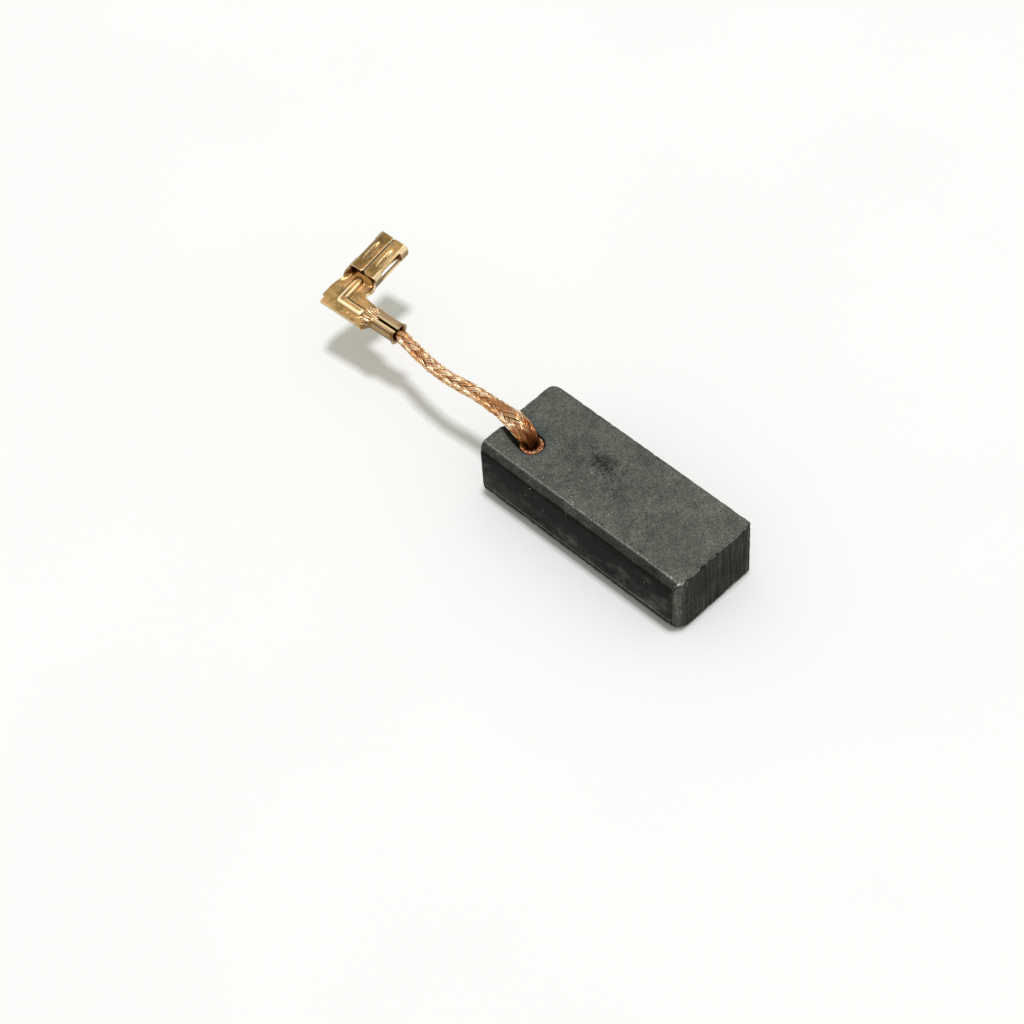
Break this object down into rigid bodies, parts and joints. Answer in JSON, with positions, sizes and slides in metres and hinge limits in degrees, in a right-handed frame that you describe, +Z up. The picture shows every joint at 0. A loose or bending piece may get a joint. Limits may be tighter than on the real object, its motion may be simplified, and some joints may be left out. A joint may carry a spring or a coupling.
{
  "type": "carbon brush",
  "caption": "Carbon brush for a power tool motor: a graphite block with a short braided copper lead and a folded brass flag terminal.",
  "frame": {"origin": "the centre of the carbon block's underside", "axes": "+X to the contact face that runs on the commutator, +Z up through the side that the lead leaves, +Y to the side without the long chamfers"},
  "size_m": [0.0506, 0.0123, 0.0097],
  "materials": {
    "graphite": "dark pressed graphite, finely mottled, sawn on the contact face",
    "copper_powder": "dull rammed copper powder",
    "copper_braid": "bare copper braid, bright strands",
    "brass_sheet": "rolled brass sheet, lightly tarnished"
  },
  "bodies": {
    "root": {"carbon_block": "graphite", "tamping": "copper_powder", "shunt_lead": "copper_braid", "flag_terminal": "brass_sheet"}
  },
  "joints": []
}
